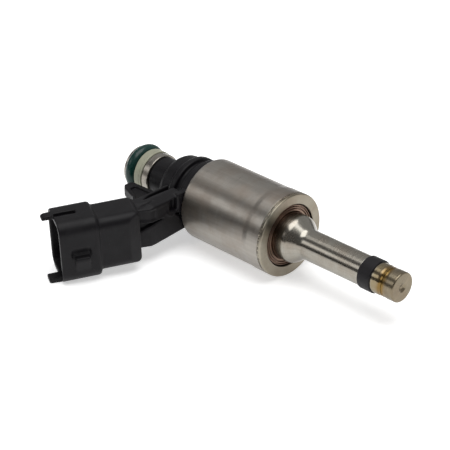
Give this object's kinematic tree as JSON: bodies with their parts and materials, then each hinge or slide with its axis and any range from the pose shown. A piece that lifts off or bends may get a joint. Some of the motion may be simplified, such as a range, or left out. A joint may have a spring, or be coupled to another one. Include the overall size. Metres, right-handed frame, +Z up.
{
  "type": "fuel injector",
  "caption": "Direct-injection solenoid fuel injector with a slim nozzle, round magnet housing, angled electrical plug and an O-ring sealed fuel inlet.",
  "frame": {"origin": "middle of the nozzle's tip face, on the nozzle axis", "axes": "+X along the nozzle axis, out of the tip; +Z up, with the injector lying on its housing and plug; the plug reaches towards -Y"},
  "size_m": [0.0859, 0.0531, 0.021],
  "materials": {
    "tinted_tip": "ground, heat tinted",
    "bright_steel": "ground",
    "seal_ptfe": "matte",
    "ground_steel": "ground bright",
    "ring_steel": "satin, turned",
    "housing_steel": "satin",
    "tinted_steel": "heat tinted",
    "magnetic_steel": "turned",
    "spring_steel": "drawn",
    "bobbin_plastic": "moulded",
    "copper_wire": "enamelled",
    "inlet_steel": "turned, nickel bright",
    "filter_brass": "satin",
    "filter_mesh": "woven",
    "pale_plastic": "moulded",
    "green_rubber": "smooth",
    "dark_plastic": "moulded, soft sheen",
    "contact_metal": "tin plated"
  },
  "bodies": {
    "housing": {"valve_seat": "tinted_tip", "combustion_seal": "seal_ptfe", "valve_body": "ground_steel", "end_ring": "ring_steel", "magnet_housing": "housing_steel", "lower_flux_plate": "tinted_steel", "nonmagnetic_ring": "bright_steel", "magnet_core": "magnetic_steel", "upper_flux_ring": "magnetic_steel", "coil_bobbin": "bobbin_plastic", "coil_winding": "copper_wire", "return_spring": "spring_steel", "adjusting_sleeve": "bright_steel", "inlet_tube": "inlet_steel", "inlet_filter_frame": "filter_brass", "inlet_filter_mesh": "filter_mesh", "support_ring": "pale_plastic", "inlet_o_ring": "green_rubber", "plastic_overmould": "dark_plastic", "contact_pin_upper": "contact_metal", "contact_pin_lower": "contact_metal"},
    "needle": {"valve_ball": "bright_steel", "valve_needle": "bright_steel", "upper_stop_sleeve": "bright_steel", "lower_stop_ring": "bright_steel", "armature_spring": "spring_steel"},
    "armature": {"armature": "magnetic_steel"}
  },
  "joints": [
    {"name": "needle_lift", "type": "slide", "parent": "housing", "child": "needle", "axis": [-1, 0, 0], "range_m": [0, 0.00009], "stiffness_N_per_m": 2000, "deforming": ["return_spring"]},
    {"name": "armature_float", "type": "slide", "parent": "needle", "child": "armature", "axis": [-1, 0, 0], "range_m": [0, 0.00005], "stiffness_N_per_m": 200, "deforming": ["armature_spring"]}
  ]
}
